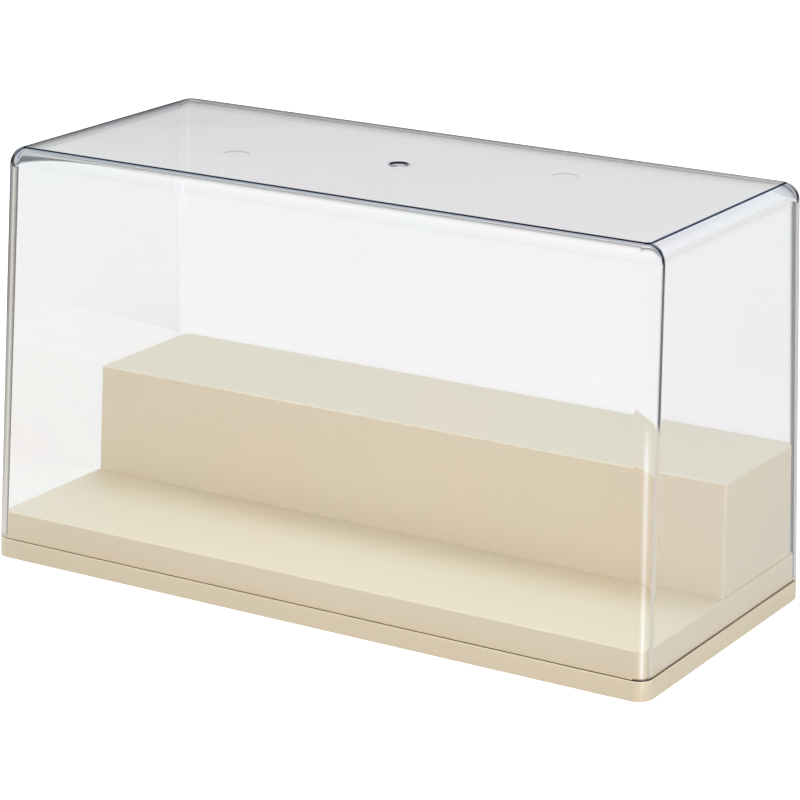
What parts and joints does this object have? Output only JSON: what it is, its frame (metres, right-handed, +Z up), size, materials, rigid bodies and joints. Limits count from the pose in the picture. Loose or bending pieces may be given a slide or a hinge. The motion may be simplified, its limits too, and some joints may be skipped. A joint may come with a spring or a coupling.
{
  "type": "figure display case",
  "caption": "Rectangular display case: a clear drafted lift-off cover stands on the ledge of a cream base tray with a raised stage and a step along its rear half.",
  "frame": {"origin": "middle of the base's underside, on the surface that the case stands on", "axes": "+X along the width, to the right seen from the front; +Y from the open front towards the riser at the back; +Z up"},
  "size_m": [0.26, 0.12, 0.1483],
  "materials": {
    "clear_plastic": "clear, polished",
    "cream_plastic": "smooth, softly glossy"
  },
  "bodies": {
    "base": {"base": "cream_plastic"},
    "riser": {"riser": "cream_plastic"},
    "cover": {"cover": "clear_plastic"}
  },
  "joints": [
    {"name": "cover_lift", "type": "slide", "parent": "base", "child": "cover", "axis": [0, 0, 1], "range_m": [0, 0.08]},
    {"name": "riser_lift", "type": "slide", "parent": "base", "child": "riser", "axis": [0, 0, 1], "range_m": [0, 0.015]}
  ]
}
